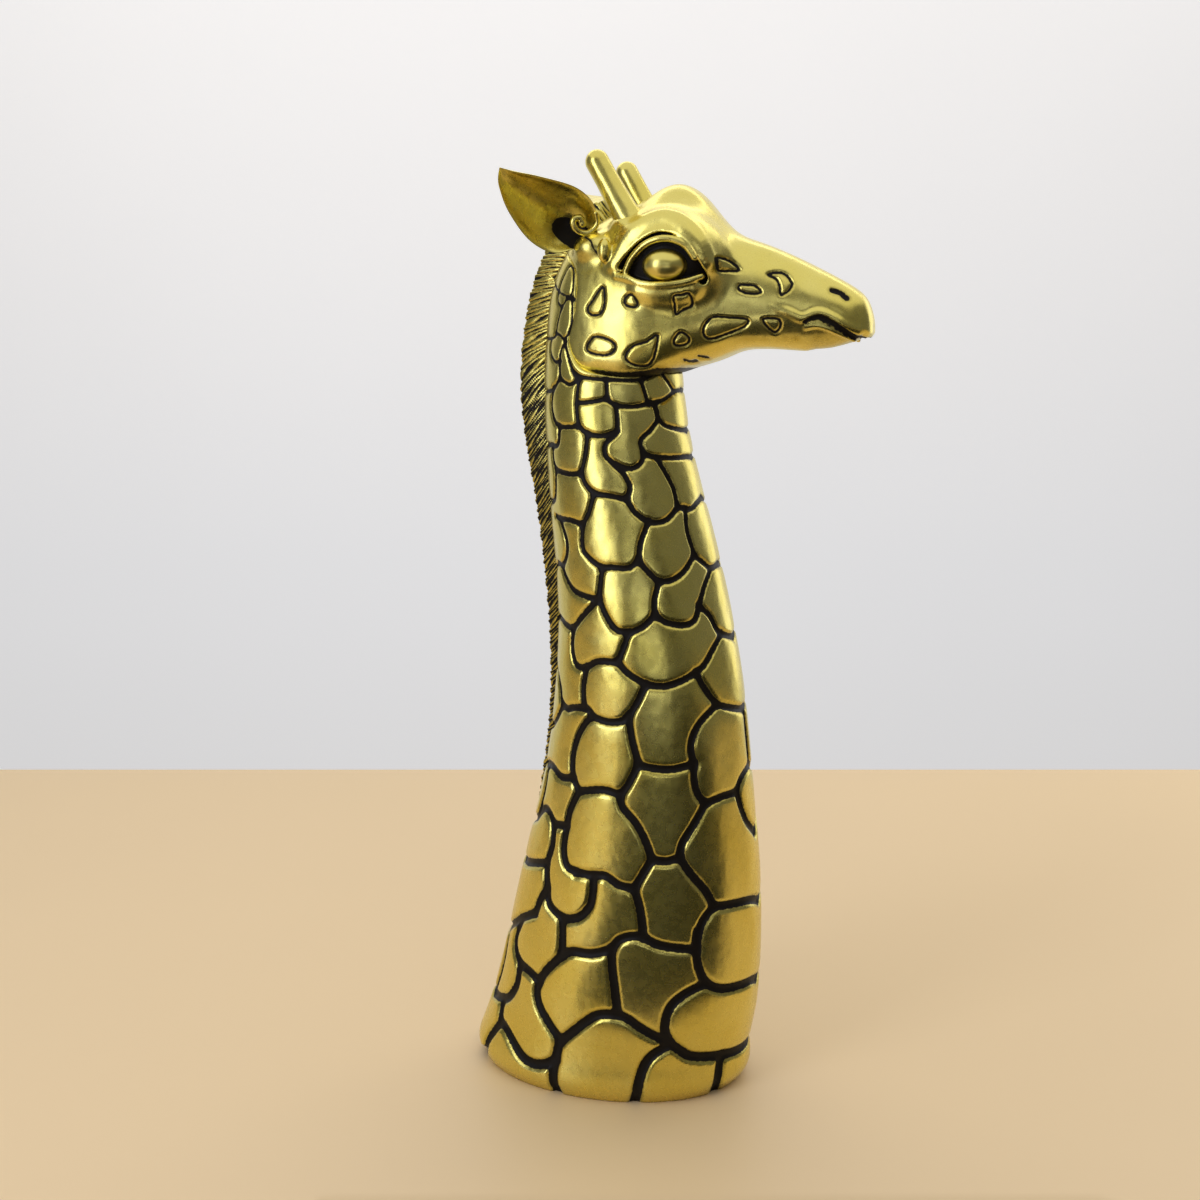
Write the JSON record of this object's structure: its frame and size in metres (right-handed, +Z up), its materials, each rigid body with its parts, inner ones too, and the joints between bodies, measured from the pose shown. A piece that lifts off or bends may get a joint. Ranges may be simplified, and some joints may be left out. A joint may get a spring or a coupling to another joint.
{
  "type": "giraffe bust statue",
  "caption": "Giraffe head and neck on a flared foot, with ears, horns, a hair ridge down the back and engraved patches, in satin champagne-gold finish.",
  "frame": {"origin": "centre of the foot, on the surface the statue stands on", "axes": "+Z up along the neck, +X the way the giraffe looks, +Y its left side"},
  "size_m": [0.138, 0.083, 0.321],
  "materials": {
    "gold_finish": "satin",
    "eye_gold": "satin",
    "base_board": "matte",
    "felt": "matte",
    "steel_pin": "satin"
  },
  "bodies": {
    "root": {"neck_shell": "gold_finish", "head_casting": "gold_finish", "mane_strip": "gold_finish", "ear_right": "gold_finish", "ear_left": "gold_finish", "horn_right": "gold_finish", "horn_left": "gold_finish", "eye_right": "eye_gold", "eye_left": "eye_gold", "base_plate": "base_board", "felt_pad": "felt", "head_dowel_front": "steel_pin", "head_dowel_rear": "steel_pin", "ear_pin_right": "steel_pin", "ear_pin_left": "steel_pin", "horn_pin_right": "steel_pin", "horn_pin_left": "steel_pin"}
  },
  "joints": []
}
